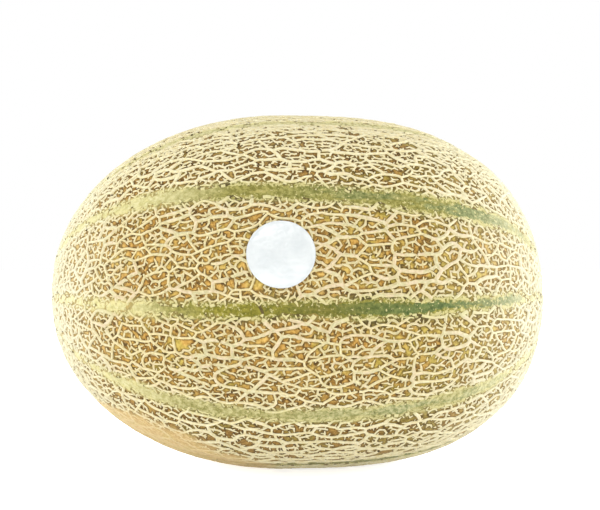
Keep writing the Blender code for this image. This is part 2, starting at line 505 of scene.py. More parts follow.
host, spur_tip, way, spur_p, clear = host[good], spur_tip[good], way[good], spur_p[good], clear[good]
good = thin(spur_p, rng.random(len(clear)), np.full(len(host), 1.5))
host, spur_tip = host[good], spur_tip[good]
print("spurs:", len(host))
m = len(host)
new = np.arange(m) + len(point)
seg = np.concatenate([seg, np.stack([host, new], 1)])
seg_spur = np.concatenate([np.zeros(len(seg) - m, bool), np.ones(m, bool)])
seg_thick = np.concatenate([thick[line[seg[:-m, 0]]], np.zeros(m, bool)])
point = np.concatenate([point, spur_tip])
spur_a = 0.30 + 0.09 * rng.random(m)
point_a = np.concatenate([point_a, spur_a * 0.85])
point_h = np.concatenate([point_h, 0.35 + 0.12 * rng.random(m)])
tip = np.concatenate([tip, np.ones(m, bool)])
lean = np.concatenate([lean, rng.random(m)])
key = np.concatenate([key, np.full(m, -1)])
seg_a = np.stack([point_a[seg[:, 0]], point_a[seg[:, 1]]], 1)
seg_h = np.stack([point_h[seg[:, 0]], point_h[seg[:, 1]]], 1)
seg_a[seg_spur, 0] = np.minimum(seg_a[seg_spur, 0], spur_a * 1.2)
seg_h[seg_spur, 0] = np.minimum(seg_h[seg_spur, 0], 0.5)

# The net stops at the vein tracts and at the scars, in ragged fingers.
P, _, T, An = spread(point)
free = tract_distance(T, An, P) + 0.10 + 2.3 * lean ** 2.0
radial = polar(P)
free = np.minimum(free, np.where(T > 0, radial - 11.2 + 1.2 * lean, 9.0))
free = np.minimum(free, np.where(T < 0, radial - 4.6 + 0.8 * lean, 9.0))
alive = free > 0
both = alive[seg].all(1)
cut = alive[seg].sum(1) == 1
swap = cut & ~alive[seg[:, 0]]
seg[swap] = seg[swap][:, ::-1]
seg_a[swap] = seg_a[swap][:, ::-1]
seg_h[swap] = seg_h[swap][:, ::-1]
fa, fb = free[seg[cut, 0]], free[seg[cut, 1]]
u = np.clip(fa / (fa - fb), 0.25, 1)
new_point = point[seg[cut, 0]] * (1 - u) + point[seg[cut, 1]] * u
new = np.arange(cut.sum()) + len(point)
seg[cut, 1] = new
seg_a[cut, 1] *= 0.62
seg_h[cut, 1] *= 0.6
point = np.concatenate([point, new_point])
tip = np.concatenate([tip, np.ones(len(new), bool)])
key = np.concatenate([key, np.full(len(new), -1)])
keep = both | cut
seg, seg_a, seg_h, seg_thick = seg[keep], seg_a[keep], seg_h[keep], seg_thick[keep]
# one point for each node, and none left over
ids = np.where(key >= 0, key, len(node) + np.arange(len(point)))
used, ids = np.unique(ids[seg], return_inverse=True)
ids = ids.reshape(seg.shape)
merged = np.zeros(len(used), complex)
merged[ids.ravel()] = point[seg.ravel()]
ends_free = np.zeros(len(used), bool)
ends_free[ids.ravel()] = tip[seg.ravel()]
point, seg = merged, ids
key = seg.min(1) * len(point) + seg.max(1)
pick = np.unique(key, return_index=True)[1]
seg, seg_a, seg_h, seg_thick = seg[pick], seg_a[pick], seg_h[pick], seg_thick[pick]
P, NRM, T, An = spread(point)
seg_mid = (P[seg[:, 0]] + P[seg[:, 1]]) / 2
seg_len = np.linalg.norm(P[seg[:, 0]] - P[seg[:, 1]], axis=1)


def ridges(p, reach):
    """For each point: distance to the nearest ridge's edge (negative on a ridge), that ridge's half width, and the height of the ridge under the point."""
    net = np.full(len(p), reach)
    wide = np.full(len(p), 0.5)
    high = np.zeros(len(p))
    for part in np.array_split(np.arange(len(p)), max(1, len(p) // 60000)):
        i, j, _ = near(p[part], seg_mid, reach + 0.9)
        a0, a1 = P[seg[j, 0]], P[seg[j, 1]]
        axis = a1 - a0
        u = np.clip(((p[part][i] - a0) * axis).sum(1) / (axis ** 2).sum(1), 0, 1)
        d = np.linalg.norm(p[part][i] - a0 - axis * u[:, None], axis=1)
        half = seg_a[j, 0] * (1 - u) + seg_a[j, 1] * u
        top = seg_h[j, 0] * (1 - u) + seg_h[j, 1] * u
        x = np.minimum(d / half, 1)
        rise = top * np.sqrt(1 - x ** 2.3)
        k = part[i]
        np.maximum.at(high, k, rise)
        order = np.lexsort((d - half, k))
        kk = k[order]
        first = np.unique(kk, return_index=True)[1]
        net[kk[first]] = np.minimum(reach, (d - half)[order][first])
        wide[kk[first]] = half[order][first]
    return net, wide, high


# ----------------------------------------------- points that carry the skin's mesh
def skin_points():
    """The lines under the ridges, the middles of the cells between them, and the tracts."""
    field = scatter(170000)
    p, _, t, a = spread(field)
    net = ridges(p, 2.2)[0]
    tract = tract_distance(t, a, p)
    keep = net > 0.24
    field, net, tract = field[keep], net[keep], tract[keep]
    cell = tract >= -0.4
    ring = np.exp(V_CAP + 1j * TAU * np.arange(CAP_SIDES) / CAP_SIDES)
    every = np.concatenate([ring, [0j], point, field])
    rank = np.concatenate([
        np.zeros(len(ring) + 1 + len(point)), np.where(cell, 1e7 - 1e6 * net, 3e7),
    ])
    gap = np.concatenate([
        np.full(len(ring) + 1, 0.7), np.full(len(point), 0.1),
        np.where(cell, np.clip(1.7 * net, 0.45, FLOOR_GAP), TRACT_GAP),
    ])
    keep = thin(spread(every)[0], rank + rng.permutation(len(every)), gap)
    keep[: len(ring) + 1 + len(point)] = True
    keep &= np.abs(every) <= math.exp(V_CAP) * 1.000001
    return every[keep], len(ring) + 1


CAP_SIDES = 84
FLOOR_GAP, TRACT_GAP = 1.25, 1.5
every, fixed = skin_points()
edges = (seg + fixed).tolist()
out = delaunay_2d_cdt([Vector((z.real, z.imag)) for z in every], edges, [], 0, 1e-9)
w = np.array([complex(v.x, v.y) for v in out[0]])
faces = np.array([f for f in out[2] if len(f) == 3])
came = np.array([o[0] if o else -1 for o in out[3]])
print("rind:", len(w), "points", len(faces), "triangles", "crossings", int((came < 0).sum()))

# ------------------------------------------------------------- raise the surface
SKIN = -0.48  # how far the skin lies below the CAD's surface, which is the net's


def settle(lift, spot, p):
    """The ground pressed the net nearly flat where the fruit lay on it."""
    return lift * (1 - 0.72 * spot) + spot * (-0.02 + 0.05 * noise(p, 1.6, 44))


def skin_level(p, t, a, net):
    """Height of the skin, with the vein tracts a little above the cells' floors."""
    tract, radial = tract_distance(t, a, p), polar(p)
    skin = SKIN + 0.10 * ease(net, 0.2, 1.6) + 0.07 * (noise(p, 2.2, 41) - 0.5)
    vein = -0.30 + 0.10 * (noise(p, 3.0, 42) - 0.5)
    smooth = np.maximum(
        ease(tract, 0.7, -0.7), np.where(t < 0, ease(radial, 6.2, 4.4), ease(radial, 12.5, 10.6))
    )
    return skin * (1 - smooth) + vein * smooth


p, nrm, t, a = spread(w)
nrm[np.abs(w) < 1e-6] = (-1, 0, 0)
net, wide, _ = ridges(p, 2.4)
tract = tract_distance(t, a, p)
spot = ground_spot(t, a, p)
radial = polar(p)
tip_end = t < 0
lift = settle(skin_level(p, t, a, net), spot, p)
# the blossom scar: a small corky ring round a shallow pit
ringed = 0.75 * np.exp(-(((radial - 3.5) / 0.85) ** 2)) - 0.45 * np.exp(-((radial / 1.9) ** 2))
scar = np.where(tip_end, ease(radial, 5.2, 4.0), 0.0)
lift = np.where(tip_end, lift * (1 - scar) + scar * (ringed - 0.15 + 0.25 * (noise(p, 1.0, 45) - 0.5)), lift)
placed = p + nrm * lift[:, None] + SEAT
# it rests on its flat spot: ridges are pressed to the floor and the skin stays off it
placed[:, 2] = np.maximum(placed[:, 2], 0.12)


def net_mesh(chosen, profile, lead_on):
    """Rounded bars along the chosen ridges, let into the skin.

    profile gives the points on each side of the crest as shares of the half width and
    of the height, from the foot upwards. Bars share a crest point where they meet, and
    a whole cross section where just two of them do, thin ones joining or not if lead_on.
    """
    k = np.flatnonzero(chosen)
    ends, half, top = seg[k], seg_a[k], seg_h[k]
    degree = np.bincount(seg.ravel(), minlength=len(point))
    own = np.bincount(ends.ravel(), minlength=len(point))
    heading = point[ends[:, 1]] - point[ends[:, 0]]
    heading /= np.abs(heading)
    flat_i = ends.T.ravel()                      # end 0 of each bar, then end 1
    count = len(k)
    bar = np.tile(np.arange(count), 2)
    end = np.repeat([0, 1], count)
    order = np.argsort(flat_i, kind="stable")
    through = (own == 2) & ((degree == 2) | lead_on)
    # where just two bars meet they share a cross section, set between their headings
    section = np.full(2 * count, -1)
    mirrored = np.zeros(2 * count, bool)
    tangent = heading[bar].copy()
    pair = order[through[flat_i[order]]].reshape(-1, 2)
    swap = end[pair[:, 0]] == end[pair[:, 1]]
    other = np.where(swap, -1, 1) * tangent[pair[:, 1]]
    both = tangent[pair[:, 0]] + other
    tangent[pair[:, 0]] = both / np.maximum(np.abs(both), 1e-9)
    section[pair[:, 0]] = section[pair[:, 1]] = np.arange(len(pair))
    mirrored[pair[:, 1]] = swap
    single = np.flatnonzero(section < 0)
    section[single] = len(pair) + np.arange(len(single))
    lead = np.concatenate([pair[:, 0], single])
    centre = point[flat_i[lead]]
    turn = tangent[lead]
    wide_at = half[bar[lead], end[lead]]
    high_at = top[bar[lead], end[lead]]
    free_end = ends_free[flat_i[lead]]
    wide_at = np.where(free_end, wide_at * 0.9, wide_at)
    local = scale_at(centre)
    # crest points, one for each point of the graph
    crest_of = np.full(len(point), -1)
    used = np.unique(flat_i)
    crest_of[used] = np.arange(len(used))
    highest = np.zeros(len(point))
    np.maximum.at(highest, flat_i, top.T.ravel())
    broadest = np.zeros(len(point))
    np.maximum.at(broadest, flat_i, half.T.ravel())
    where = [point[used]]
    rise = [highest[used] * np.where(ends_free[used], 0.86, 1.0)]
    out = [np.zeros(len(used))]
    width = [broadest[used]]
    columns = []
    total = len(used)
    for side in (1, -1):
        column = []
        for across, up in profile:
            jitter = 1 + 0.30 * (rng.random(len(lead)) - 0.5)
            where.append(centre + 1j * side * turn * wide_at * across * jitter / local)
            rise.append(high_at * up)
            out.append(np.full(len(lead), across))
            width.append(wide_at)
            column.append(total + np.arange(len(lead)))
            total += len(lead)
        columns.append(column)
    left = [np.where(mirrored, columns[1][r][section], columns[0][r][section]) for r in range(len(profile))]
    right = [np.where(mirrored, columns[0][r][section], columns[1][r][section]) for r in range(len(profile))]
    middle = crest_of[flat_i]
    row = np.stack(left + [middle] + right[::-1], 1)
    r0, r1 = row[:count], row[count:]
    faces = []
    for c in range(row.shape[1] - 1):
        faces.append(np.stack([r0[:, c], r0[:, c + 1], r1[:, c + 1]], 1))
        faces.append(np.stack([r0[:, c], r1[:, c + 1], r1[:, c]], 1))
    # free ends are closed with a point ahead of them
    tips = np.flatnonzero(ends_free[flat_i] & (degree[flat_i] == 1))
    ahead = heading[bar[tips]] * np.where(end[tips] == 1, 1, -1)
    where.append(point[flat_i[tips]] + ahead * half[bar[tips], end[tips]] * 0.95 / scale_at(point[flat_i[tips]]))
    rise.append(np.full(len(tips), -0.12))
    out.append(np.ones(len(tips)))
    width.append(half[bar[tips], end[tips]])
    tip_id = total + np.arange(len(tips))
    for c in range(row.shape[1] - 1):
        x, y = row[tips, c], row[tips, c + 1]
        flip = end[tips] == 0
        faces.append(np.stack([np.where(flip, y, x), np.where(flip, x, y), tip_id], 1))
    where, rise, out, width = map(np.concatenate, (where, rise, out, width))
    faces = np.concatenate(faces)
    p, nrm, t, a = spread(where)
    level = skin_level(p, t, a, np.zeros(len(p)))
    rough = 1 + 0.14 * (noise(p, 5.0, 43) - 0.5) + 0.22 * (noise(p, 1.4, 46) - 0.5)
    lift = np.where(rise > 0, np.maximum(SKIN + rise * rough, level + 0.25 * rise), level + rise)
    spot = ground_spot(t, a, p)
    lift = settle(lift, spot, p)
    placed = p + nrm * lift[:, None] + SEAT
    placed[:, 2] = np.maximum(placed[:, 2], np.where(rise > 0, 0.03 * out, 0.2))
    fields = {
        "net": -width * (1 - out), "wide": width, "tract": tract_distance(t, a, p),
        "ground": spot, "scar": np.zeros(len(p)), "radial": polar(p), "raised": lift,
        "bar": np.ones(len(p)),
    }
    return placed, faces, fields, t, a, station(where)


# --------------------------------------------------------------------- stem end
rows = np.array([0.955, 0.91, 0.865, 0.82, 0.775, 0.73, 0.685, 0.64, 0.58, 0.52, 0.46, 0.39, 0.32, 0.25, 0.18, 0.11, 0.05])
ring_ids = [int(np.flatnonzero(came == k)[0]) for k in range(CAP_SIDES)]
cap_p, cap_faces, cap_t, cap_a = [], [], [], []
turns = TAU * np.arange(CAP_SIDES) / CAP_SIDES
start = len(w)
for row in rows:
    r = CAP_RADIUS * row
    s = np.interp(-r, -PROFILE_R[STEM_HALF], S[STEM_HALF])
    cap_t.append(np.full(CAP_SIDES, -math.cos(math.pi * s)))
    cap_a.append(turns)
cap_s = np.arccos(-np.concatenate(cap_t)) / math.pi
ct, ca = np.concatenate(cap_t + [np.array([1.0])]), np.concatenate(cap_a + [np.array([0.0])])
cp = surface(ct, ca)
cn = np.concatenate([normals(cap_s, ca[:-1]), [[1.0, 0, 0]]])
cr = polar(cp)
# the callus where the stalk came away: a raised rim, then a rough sunken disc
waver = 0.7 * (noise(cp, 5.0, 51) - 0.5)
rim = 1.15 * np.exp(-(((cr - 7.1 - waver) / 0.95) ** 2))
bed = -0.9 * ease(cr, 6.6, 5.2)
bundles = 0.20 * np.cos(np.clip(cr, 0, 6.5) * 1.1 + 14.0 * noise(cp, 4.0, 55)) * ease(cr, 6.4, 5.2)
rough = 0.65 * (noise(cp, 1.3, 52) - 0.5) * ease(cr, 8.6, 7.6) + 0.5 * (noise(cp, 0.8, 53) - 0.5) * ease(cr, 6.8, 6.0)
crack = -0.5 * np.exp(-((np.sin(2.5 * ca + 2.4 * noise(cp, 4.0, 54)) / 0.16) ** 2)) * ease(cr, 8.4, 7.2) * ease(cr, 5.0, 6.4)
edge_lift = lift[ring_ids].mean()
cl = edge_lift * ease(cr, 7.5, 9.8) + (rim + bed + bundles + rough + crack - 0.2) * ease(cr, 9.8, 8.6)
cap_placed = cp + cn * cl[:, None] + SEAT
previous = ring_ids
for k in range(len(rows)):
    here = [start + k * CAP_SIDES + m for m in range(CAP_SIDES)]
    for m in range(CAP_SIDES):
        o = (m + 1) % CAP_SIDES
        if (m + k) % 2:
            cap_faces += [(previous[m], here[m], previous[o]), (previous[o], here[m], here[o])]
        else:
            cap_faces += [(previous[m], here[o], previous[o]), (previous[m], here[m], here[o])]
    previous = here
pole_id = start + len(rows) * CAP_SIDES
for m in range(CAP_SIDES):
    cap_faces.append((previous[m], pole_id, previous[(m + 1) % CAP_SIDES]))


def joined(x, y):
    return np.concatenate([x, np.broadcast_to(y, (len(cp),) + np.shape(x)[1:])])


placed = np.concatenate([placed, cap_placed])
faces = np.concatenate([faces, np.array(cap_faces)])
t_all, a_all = np.concatenate([t, ct]), np.concatenate([a, ca])
cap_scar = ease(cr, 8.9, 8.2)
fields = {
    "net": joined(net, 2.4),
    "wide": joined(wide, 0.5),
    "tract": np.concatenate([tract, tract_distance(ct, ca, cp)]),
    "ground": joined(spot, 0.0),
    "scar": np.concatenate([scar, cap_scar]),
    "radial": np.concatenate([np.where(tip_end, radial * 1.9, radial), cr]),
    "raised": np.concatenate([lift, cl]),
    "bar": np.zeros(len(placed)),
}
shade = rng.random(len(fine_p))


def add_places(fields, placed, t, a):
    """Fields that tell the material where on the fruit it is."""
    p = placed - SEAT
    # one shade for each cell
    i, j, d = near(p, fine_p, 6.0)
    order = np.lexsort((d, i))
    first = np.unique(i[order], return_index=True)[1]
    tone = np.full(len(p), 0.5)
    tone[i[order][first]] = shade[j[order][first]]
    fields["tone"] = tone
    fields["along"] = t
    # some tracts are fainter than the rest, or darker, and each fades at its own place
    which = tract_gap(t, a)[1]
    faint = np.array([1.7, 0.25, 0.0, 0.85, 0.4, 0.0, 0.3, 0.0, 0.15, 0.5])
    late = np.array([-0.10, -0.06, 0.07, 0.0, 0.05, -0.08, 0.0, 0.10, -0.05, 0.0])
    deep = np.array([0.0, 0.2, 1.0, 0.0, 0.2, 0.7, 0.3, 0.8, 0.3, 0.2])
    fields["faint"] = faint[which]
    fields["fading"] = t + late[which]
    fields["deep"] = deep[which] * ease(np.abs(t - 0.10), 0.50, 0.15)
    # painted light: 1 towards the top and the bottom of the fruit, where the ridges are painted lighter and the skin
    # darker
    fields["painted_light_band"] = ease(np.abs(p[:, 2]), 18.0, 58.0)
    fields["dark"] = ease(fields["tract"], 3.2, 1.0) * ease(tone, 0.45, 0.75)


add_places(fields, placed, t_all, a_all)


# ---------------------------------------------------------------- Blender meshes
def mesh_of(name, points, faces, fields, corners_uv=None):
    mesh = bpy.data.meshes.new(name)
    mesh.vertices.add(len(points))
    mesh.vertices.foreach_set("co", (points * 0.001).astype(np.float32).ravel())
    mesh.loops.add(len(faces) * 3)
    mesh.loops.foreach_set("vertex_index", faces.astype(np.int32).ravel())
    mesh.polygons.add(len(faces))
    mesh.polygons.foreach_set("loop_start", np.arange(0, len(faces) * 3, 3, dtype=np.int32))
    mesh.update(calc_edges=True)
    mesh.validate()
    for key, values in fields.items():
        layer = mesh.attributes.new(key, "FLOAT", "POINT")
        layer.data.foreach_set("value", np.asarray(values, np.float32))
    if corners_uv is not None:
        layer = mesh.uv_layers.new(name="OFBake")
        layer.uv.foreach_set("vector", corners_uv.astype(np.float32).ravel())
    mesh.shade_smooth()
    obj = bpy.data.objects.new(name, mesh)
    bpy.context.scene.collection.objects.link(obj)
    return obj


def wrapped_map(faces, s, a):
    """A map for baking: the rind's front and back halves, one above the other."""
    ca, cs = a[faces], s[faces]
    middle = np.angle(np.exp(1j * ca).sum(1))
    ca = middle[:, None] + (ca - middle[:, None] + math.pi) % TAU - math.pi
    flat = (cs < 1e-4) | (cs > 1 - 1e-4)
    ca = np.where(flat, middle[:, None], ca)
    back = np.abs(middle) > math.pi / 2
    turn = np.where(back[:, None], (ca % TAU) - math.pi, ca)
    share = np.interp(s, S, 0.5 * AREA / AREA[-1] + 0.5 * S)[faces]
    u = 0.01 + 0.98 * share
    v = np.where(back[:, None], 0.75, 0.25) + turn / math.pi * 0.47
    return np.stack([u, v], -1).reshape(-1, 2)


s_all = np.concatenate([station(w), np.append(cap_s, 1.0)])
melon = mesh_of("rind_skin", placed, faces, fields, wrapped_map(faces, s_all, a_all))
nets = []
for name, chosen, profile, lead_on in (
    ("net_ridges", seg_thick, ((1.10, -0.22), (0.74, 0.88)), True),
    ("net_threads", ~seg_thick, ((1.15, -0.26),), False),
):
    net_placed, net_faces, net_fields, net_t, net_a, net_s = net_mesh(chosen, profile, lead_on)
    add_places(net_fields, net_placed, net_t, net_a)
    nets.append(mesh_of(name, net_placed, net_faces, net_fields, wrapped_map(net_faces, net_s, net_a)))
    print(name, len(net_placed), "points", len(net_faces), "triangles")
edge_use = np.sort(np.concatenate([faces[:, [0, 1]], faces[:, [1, 2]], faces[:, [2, 0]]]), 1)
use = np.unique(edge_use[:, 0] * len(placed) + edge_use[:, 1], return_counts=True)[1]
print("rind mesh:", len(placed), "points", len(faces), "triangles, edges not shared by two:", int((use != 2).sum()))


# ------------------------------------------------------------------- the label
def label_piece():
    rings, sides = 40, 180
    middle_t = axis_t(np.float64(LABEL_X))
    waist = girth(middle_t, LABEL_ANGLE)
    share = np.concatenate([[0.0], np.linspace(0.02, 1.0, rings) ** 0.9])
    turn = TAU * np.arange(sides) / sides

    def where(sh, tu):
        reach = sh * LABEL_DIAMETER / 2
        t = axis_t(LABEL_X + reach * np.cos(tu))
        angle = LABEL_ANGLE + reach * np.sin(tu) / waist
        s = np.arccos(-t) / math.pi
        return surface(t, angle), normals(s, angle)

    sh, tu = np.meshgrid(share[1:], turn, indexing="ij")
    p, n = where(sh.ravel(), tu.ravel())
    p0, n0 = where(np.zeros(1), np.zeros(1))
    p, n = np.concatenate([p0, p]), np.concatenate([n0, n])
    r = np.concatenate([[0.0], sh.ravel()])
    net, _, high = ridges(p, 2.4)
    soft = ease(net, 0.9, -0.4)
    # the paper bridges the net, sags a little over the cells and lifts at its rim
    lift = 0.24 + 0.075 * soft + 0.05 * noise(p, 7.0, 61) + 0.16 * ease(r, 0.90, 1.0)
    thickness = 0.20
    edge = r > 0.9999
    top = p + n * (lift + thickness)[:, None]
    low = p + n * lift[:, None]
    count = len(p)
    faces = []
    for base, up in ((0, True), (count, False)):
        def add(x, y, z):
            faces.append((x + base, y + base, z + base) if up else (x + base, z + base, y + base))
        for m in range(sides):
            o = (m + 1) % sides
            add(0, 1 + m, 1 + o)
        for k in range(rings - 1):
            for m in range(sides):
                o = (m + 1) % sides
                i0, i1 = 1 + k * sides + m, 1 + k * sides + o
                j0, j1 = i0 + sides, i1 + sides
                add(i0, j0, j1)
                add(i0, j1, i1)
    last = 1 + (rings - 1) * sides
    # a rounded rim between the two faces
    rim = 2 * count
    mid = (top + low)[edge] / 2
    away = mid - p0
    away /= np.linalg.norm(away, axis=1, keepdims=True)
    mid = mid + away * 0.05
    for m in range(sides):
        o = (m + 1) % sides
        faces += [
            (last + m, rim + m, rim + o), (last + m, rim + o, last + o),
            (rim + m, count + last + m, count + last + o), (rim + m, count + last + o, rim + o),
        ]
    points = np.concatenate([top, low, mid]) + SEAT
    faces = np.array(faces)
    rr = np.concatenate([r, r, np.ones(sides)])
    side = np.concatenate([np.ones(count), np.zeros(count), np.full(sides, 0.5)])
    x = np.concatenate([r * np.cos(np.concatenate([[0], tu.ravel()]))] * 2 + [np.cos(turn)])
    y = np.concatenate([r * np.sin(np.concatenate([[0], tu.ravel()]))] * 2 + [np.sin(turn)])
    uv = np.stack([0.25 + 0.23 * x + 0.5 * (side < 0.25), 0.5 + 0.46 * y], 1)
    cross = side[faces].min(1) != side[faces].max(1)
    corner = uv[faces]
    corner[cross] = uv[faces[cross]]
    corner[..., 0] = np.where(
        cross[:, None], 0.25 + 0.235 * x[faces] * 1.01 + 0.5 * (side[faces].min(1) < 0.25)[:, None], corner[..., 0]
    )
    return mesh_of("paper_label", points, faces, {"rim": rr, "sag": np.concatenate([1 - soft, 1 - soft, np.zeros(sides)])}, corner.reshape(-1, 2))


label = label_piece()


# --------------------------------------------------------------------- materials
class Nodes:
    """A short way to write a material's node tree."""

    def __init__(self, name):
        self.material = bpy.data.materials.new(name)
        self.material.use_nodes = True
        self.tree = self.material.node_tree
        self.shader = self.tree.nodes["Principled BSDF"]
        self.coords = self.tree.nodes.new("ShaderNodeTexCoord").outputs["Object"]

    def link(self, value, socket):
        if isinstance(value, bpy.types.NodeSocket):
            self.tree.links.new(value, socket)
        elif isinstance(value, (tuple, list)) and len(value) == 3 and socket.type == "RGBA":
            socket.default_value = (*value, 1.0)
        else:
            socket.default_value = value

    def field(self, name):
        node = self.tree.nodes.new("ShaderNodeAttribute")
        node.attribute_name = name
        return node.outputs["Fac"]

    def noise(self, size, detail=2.0, rough=0.5, distortion=0.0, stretch=None, seed=0.0):
        """Noise whose lumps are about the given size in millimetres."""
        mapping = self.tree.nodes.new("ShaderNodeMapping")
        self.tree.links.new(self.coords, mapping.inputs["Vector"])
        mapping.inputs["Location"].default_value = (seed, seed * 1.7, -seed)
        if stretch:
            mapping.inputs["Scale"].default_value = stretch
        node = self.tree.nodes.new("ShaderNodeTexNoise")
        self.tree.links.new(mapping.outputs[0], node.inputs["Vector"])
        node.inputs["Scale"].default_value = 1000.0 / size
        node.inputs["Detail"].default_value = detail
        node.inputs["Roughness"].default_value = rough
        node.inputs["Distortion"].default_value = distortion
        return node.outputs["Fac"]

    def math(self, kind, *values, clamp=False):
        node = self.tree.nodes.new("ShaderNodeMath")
        node.operation = kind
        node.use_clamp = clamp
        for k, value in enumerate(values):
            self.link(value, node.inputs[k])
        return node.outputs[0]

    def ramp(self, value, low, high, to_low=0.0, to_high=1.0):
        node = self.tree.nodes.new("ShaderNodeMapRange")
        node.interpolation_type = "SMOOTHSTEP"
        self.link(value, node.inputs["Value"])
        for key, number in (("From Min", low), ("From Max", high), ("To Min", to_low), ("To Max", to_high)):
            node.inputs[key].default_value = number
        return node.outputs[0]

    def mix(self, amount, one, two, kind="MIX"):
        node = self.tree.nodes.new("ShaderNodeMix")
        node.data_type = "RGBA"
        node.blend_type = kind
        self.link(amount, node.inputs[0])
        self.link(one, node.inputs[6])
        self.link(two, node.inputs[7])
        return node.outputs[2]

    def bump(self, height, distance, normal=None, strength=1.0):
        node = self.tree.nodes.new("ShaderNodeBump")
        node.inputs["Distance"].default_value = distance
        node.inputs["Strength"].default_value = strength
        self.link(height, node.inputs["Height"])
        if normal is not None:
            self.link(normal, node.inputs["Normal"])
        return node.outputs[0]


LIT = 0.373  # a surface's share of the light that falls on it, for the colour it is seen in


def srgb(r, g, b):
    """A colour as it looks in the studio's light, as the paint that gives it."""
    return tuple(
        LIT * (c / 255 / 12.92 if c <= 10 else ((c / 255 + 0.055) / 1.055) ** 2.4)
        for c in (r, g, b)
    )


def rind_material():
    m = Nodes("rind")
    add, sub, mul = "ADD", "SUBTRACT", "MULTIPLY"
    fine = m.noise(0.55, 3.0, 0.6)
    grain = m.noise(1.3, 3.0, 0.6, seed=0.3)
    blotch = m.noise(5.0, 2.0, 0.5, seed=0.7)
    broad = m.noise(26.0, 2.0, 0.5, seed=1.1)
    streak = m.noise(3.2, 3.0, 0.6, 0.3, stretch=(0.16, 1.0, 1.0), seed=4.0)
    mottle = m.noise(1.6, 3.0, 0.65, seed=5.0)
    stain = m.noise(13.0, 2.0, 0.5, 0.0, stretch=(0.45, 1.0, 1.0), seed=6.0)
    net, wide, tract = m.field("net"), m.field("wide"), m.field("tract")
    tone, ground, along = m.field("tone"), m.field("ground"), m.field("along")
    scar, radial, dark, raised = m.field("scar"), m.field("radial"), m.field("dark"), m.field("raised")

    # Where a ridge ends, roughened by fine noise.
    ragged = m.math(add, m.math(mul, m.math(sub, fine, 0.5), 0.42), m.math(mul, m.math(sub, grain, 0.5), 0.34))
    edge = m.math(add, net, ragged)
    cork = m.field("bar")
    # The flat top of a wide ridge is greyer than its rounded sides.
    crown = m.math(mul, m.ramp(edge, -0.12, -0.40), m.ramp(wide, 0.40, 0.62))

    cream = m.mix(m.ramp(grain, 0.32, 0.68), srgb(226, 208, 147), srgb(243, 231, 184))
    cream = m.mix(m.ramp(blotch, 0.40, 0.70, 0.0, 0.45), cream, srgb(236, 219, 167))
    top_green = m.mix(m.ramp(grain, 0.35, 0.65), srgb(196, 190, 146), srgb(218, 211, 168))
    top_pink = m.mix(m.ramp(grain, 0.35, 0.65), srgb(212, 191, 156), srgb(231, 212, 180))
    top = m.mix(m.ramp(blotch, 0.42, 0.60), top_green, top_pink)
    ridge = m.mix(m.math(mul, crown, 0.85), cream, top)
    flecks = m.ramp(m.noise(0.95, 2.0, 0.6, 0.3, seed=12.0), 0.54, 0.68)
    ridge = m.mix(m.math(mul, flecks, 0.38), ridge, srgb(200, 180, 126))
    # painted highlight: the ridges lighter towards the top and the bottom of the fruit
    ridge = m.mix(m.math(mul, m.field("painted_light_band"), 0.62), ridge, m.mix(m.ramp(grain, 0.32, 0.68), srgb(248, 234, 182), srgb(255, 250, 216)))
    # tiny pores and cracks along the crown
    pores = m.ramp(m.noise(0.8, 2.0, 0.6, 0.6, stretch=(0.5, 1.0, 1.0), seed=2.0), 0.60, 0.72)
    ridge = m.mix(m.math(mul, m.math(mul, pores, crown), 0.35), ridge, srgb(168, 146, 102))

    # Skin between the ridges: ochre to brown, with painted shade darkest at the foot of a ridge.
    brown = m.mix(m.ramp(grain, 0.3, 0.7), srgb(164, 118, 40), srgb(222, 176, 88))
    ochre = m.mix(m.ramp(grain, 0.3, 0.7), srgb(190, 148, 60), srgb(238, 200, 112))
    olive = m.mix(m.ramp(grain, 0.3, 0.7), srgb(164, 142, 48), srgb(214, 192, 94))
    skin = m.mix(m.ramp(tone, 0.20, 0.80), brown, ochre)
    yellow = m.math(add, m.math(mul, broad, 0.55), m.math(mul, tone, 0.30))
    yellow = m.math(add, yellow, m.ramp(along, 0.0, 0.6, 0.0, 0.16))
    skin = m.mix(m.ramp(yellow, 0.42, 0.68), skin, olive)
    # painted shade: the skin darkened near the foot of each ridge, broken up by noise
    foot = m.math(mul, m.ramp(edge, 0.80, 0.05), m.ramp(m.noise(2.1, 2.0, 0.5, seed=3.6), 0.36, 0.58, 0.45, 1.0))
    skin = m.mix(m.math(mul, foot, 0.62), skin, srgb(92, 63, 14))
    # painted shade: a narrower, darker line right at the edge of each ridge, in the crease
    painted_crease_shade = m.math(mul, m.ramp(edge, 0.36, 0.02), m.ramp(m.noise(1.7, 2.0, 0.5, seed=6.6), 0.42, 0.60, 0.15, 1.0))
    skin = m.mix(m.math(mul, painted_crease_shade, 0.72), skin, srgb(48, 30, 3))
    # painted shade: the skin between the ridges darker towards the top and the bottom
    skin = m.mix(m.math(mul, m.field("painted_light_band"), 0.50), skin, srgb(66, 45, 10))
    faded = m.ramp(m.math(add, m.field("fading"), m.math(mul, m.math(sub, stain, 0.5), 0.35)), -0.18, -0.68)
    faded = m.math("MAXIMUM", faded, m.math(mul, m.field("faint"), m.ramp(mottle, 0.25, 0.75, 0.35, 0.85)))
    beside = m.mix(faded, srgb(132, 128, 62), srgb(196, 184, 118))
    skin = m.mix(m.ramp(tract, 2.2, 0.2, 0.0, 0.60), skin, beside)
    skin = m.mix(m.math(mul, m.ramp(m.noise(0.7, 2.0, 0.5, seed=3.0), 0.54, 0.70), 0.45), skin, srgb(228, 192, 118))
    skin = m.mix(m.math(mul, dark, m.ramp(faded, 0.0, 1.0, 0.75, 0.10)), skin, srgb(62, 44, 14))
    fringe = m.math(add, tract, m.math(mul, m.math(sub, grain, 0.5), 2.6))
    ridge = m.mix(m.ramp(fringe, 1.5, -0.7, 0.0, 0.65), ridge, srgb(216, 210, 144))
    colour = m.mix(cork, skin, ridge)

